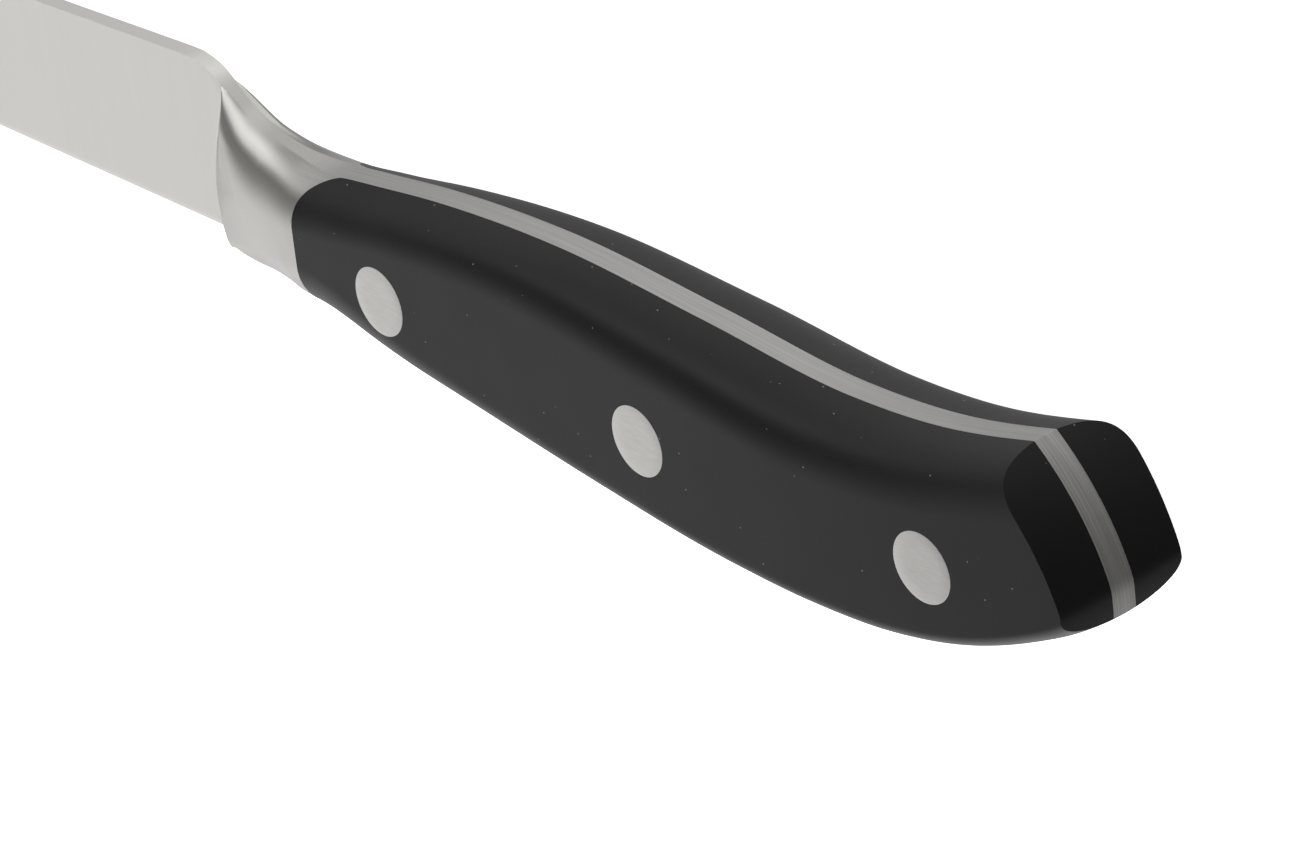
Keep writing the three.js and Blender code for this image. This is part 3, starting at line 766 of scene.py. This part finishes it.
# The dome's angle is the direction's own, out of the upright plane along the knife and towards its spine. A
# little of the plain height is mixed in, which carries the angle further round below the horizon.
sideways = node(tree, "ShaderNodeCombineXYZ", {"X": along, "Z": up}).outputs["Vector"]
level = node(tree, "ShaderNodeVectorMath", {0: sideways}, operation="LENGTH").outputs["Value"]
spread = node(tree, "ShaderNodeMix", {"Factor": 0.92, "A": up, "B": level}).outputs["Result"]
angle = node(tree, "ShaderNodeMath", {0: aside, 1: spread}, operation="ARCTAN2").outputs[0]

# Shares and strengths that change evenly between two places of one part of the direction:
# part, first place, last place, value up to the first, value from the last
even_changes = {
    "turn": (angle, -math.pi, math.pi, 0.0, 1.0),  # the dome's angle as a share of a whole turn
    "length": (along, -1.0, 1.0, 0.0, 1.0),  # the sweep's place as a share of its length
    "front_end": (along, -0.8, -0.35, 1.0, 0.06),  # in front the dome dims towards the butt
    "front_low": (up, 0.3, -0.2, 1.0, 0.78),  # and below the horizon
    "back_dim": (along, 0.15, 0.75, 1.0, 0.05),  # behind the spine all dims towards the butt
    "back": (aside, 0.0, 0.35, 0.0, 1.0),  # behind the spine
    "below": (up, 0.25, -0.05, 0.0, 1.0),  # below the horizon
    "front_card": (aside, -0.38, -0.72, 0.0, 1.0),  # card in front of the edge
    "point_card": (along, -0.88, -0.97, 0.0, 0.6),  # card past the point
    "low_back": (aside, 0.15, 0.4, 0.0, 0.74),  # card low behind the spine
    "low_back_height": (up, -0.3, -0.5, 0.0, 1.0),
    "under_far": (aside, -0.15, 0.05, 0.0, 1.0),  # card under the far side
    "under_far_height": (up, -0.7, -0.86, 0.0, 1.0),
}
light = {
    name: node(tree, "ShaderNodeMapRange", {
        "Value": part, "From Min": first, "From Max": last, "To Min": before, "To Max": after,
    }).outputs["Result"]
    for name, (part, first, last, before, after) in even_changes.items()
}
dome = node(tree, "ShaderNodeValToRGB", {"Fac": light["turn"]})
sweep = node(tree, "ShaderNodeValToRGB", {"Fac": light["length"]})
# Brightness by the angle over the knife in degrees, from its edge's side to its spine's
DOME_STOPS = [
    (-180, 1.0), (-55, 1.05), (-40, 1.09), (-28, 0.93), (-16, 0.76), (-5, 0.58), (6, 0.42), (17, 0.33),
    (28, 0.26), (37, 0.45), (46, 1.15), (58, 1.45), (68, 1.35), (76, 1.1), (90, 0.95), (180, 0.9),
]
# Brightness behind the knife by the direction's own X, from the point's side to the butt's
SWEEP_STOPS = [
    (-1, 0.45), (-0.85, 0.45), (-0.79, 0.6), (-0.74, 0.66), (-0.68, 0.52), (-0.56, 0.54), (-0.45, 0.7),
    (-0.25, 0.88), (0.1, 0.95), (0.28, 0.7), (0.46, 0.1), (1, 0.03),
]
for ramp, stops, half_range in ((dome, DOME_STOPS, 180), (sweep, SWEEP_STOPS, 1)):
    elements = ramp.color_ramp.elements
    for at, _ in stops[1:-1]:
        elements.new((at / half_range + 1) / 2)
    for element, (_, value) in zip(elements, stops):
        element.color = (value, value, value, 1)
light["dome"], light["sweep"] = dome.outputs["Color"], sweep.outputs["Color"]

# Products of two shares, mixes by a share, and the brighter of two lights, each from those above it
joined = [
    ("front_dim", "MULTIPLY", "front_end", "front_low"),
    ("dim", "back", "front_dim", "back_dim"),
    ("over", "MULTIPLY", "dome", "dim"),
    ("behind", "MULTIPLY", "below", "back"),
    ("studio", "behind", "over", "sweep"),
    ("low_back_card", "MULTIPLY", "low_back", "low_back_height"),
    ("under_far_card", "MULTIPLY", "under_far", "under_far_height"),
    ("low_cards", "MAXIMUM", "low_back_card", "under_far_card"),
    ("dimmed_cards", "MULTIPLY", "low_cards", "back_dim"),
    ("end_cards", "MAXIMUM", "point_card", "front_card"),
    ("cards", "MAXIMUM", "end_cards", "dimmed_cards"),
    ("strength", "MAXIMUM", "studio", "cards"),
]
for name, way_to_join, a, b in joined:
    if way_to_join in light:
        inputs = {"Factor": light[way_to_join], "A": light[a], "B": light[b]}
        light[name] = node(tree, "ShaderNodeMix", inputs).outputs["Result"]
    else:
        inputs = {0: light[a], 1: light[b]}
        light[name] = node(tree, "ShaderNodeMath", inputs, operation=way_to_join).outputs[0]
sky = node(tree, "ShaderNodeBackground", {"Color": (1.0, 1.0, 1.0, 1.0), "Strength": light["strength"]})
node(tree, "ShaderNodeOutputWorld", {"Surface": sky.outputs["Background"]})

# Soft box overhead, in metres and watts
LAMP_SIZE, LAMP_HEIGHT, LAMP_POWER = 1.6, 1.2, 16.0
lamp = bpy.data.lights.new("overhead_soft_box", "AREA")
lamp.shape, lamp.size, lamp.energy = "SQUARE", LAMP_SIZE, LAMP_POWER
overhead = bpy.data.objects.new("overhead_soft_box", lamp)
overhead.location = (0, 0, LAMP_HEIGHT)
overhead.visible_glossy = False
scene.collection.objects.link(overhead)

# Camera: place and axes in the knife's own frame, found from the photograph's lines
CAMERA_PLACE = np.array([481.56, 309.04, 354.87])
CAMERA_RIGHT = np.array([0.66497, -0.10196, -0.73988])
CAMERA_DOWN = np.array([0.29954, -0.87107, 0.38924])
PHOTOGRAPH_WIDTH, FOCAL_LENGTH = 1304, 7856.77  # in the photograph's pixels
SENSOR_WIDTH = 36.0
view = bpy.data.cameras.new("photograph_view")
view.sensor_fit, view.sensor_width = "HORIZONTAL", SENSOR_WIDTH
view.lens = FOCAL_LENGTH / PHOTOGRAPH_WIDTH * SENSOR_WIDTH
view.clip_start, view.clip_end = 0.01, 20.0
camera = bpy.data.objects.new("photograph_view", view)
axes = np.eye(4)
axes[:3, 0], axes[:3, 1] = TURN @ CAMERA_RIGHT, -TURN @ CAMERA_DOWN
axes[:3, 2] = np.cross(axes[:3, 0], axes[:3, 1])
axes[:3, 3] = placed(CAMERA_PLACE)
camera.matrix_world = axes.T.tolist()
scene.collection.objects.link(camera)
scene.camera = camera
scene.view_settings.view_transform = "Standard"
